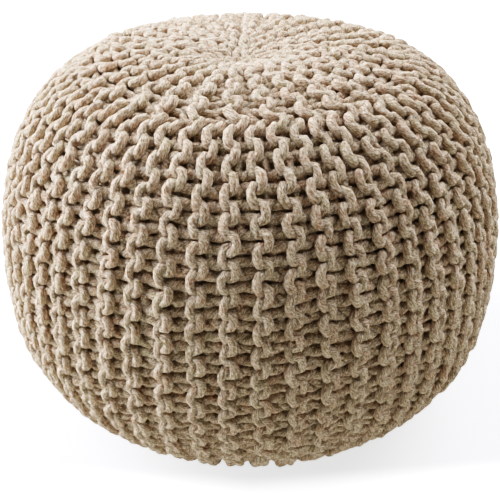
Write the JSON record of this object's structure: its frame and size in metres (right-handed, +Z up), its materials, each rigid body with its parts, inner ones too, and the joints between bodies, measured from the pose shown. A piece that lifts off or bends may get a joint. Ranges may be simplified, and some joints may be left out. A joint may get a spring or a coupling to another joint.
{
  "type": "knitted pouf",
  "caption": "Round filled floor pouf in a chunky garter-stitch knit of oatmeal cotton cord, gathered at the top and flat where it rests.",
  "frame": {"origin": "centre of the flat patch on which the pouf rests, at floor level", "axes": "+Z up from the floor through the middle of the crown; -Y towards the viewer"},
  "size_m": [0.4996, 0.4996, 0.3742],
  "materials": {
    "cotton_cord": "matt heathered oatmeal cotton cord"
  },
  "bodies": {
    "root": {"knit_cover": "cotton_cord"}
  },
  "joints": []
}
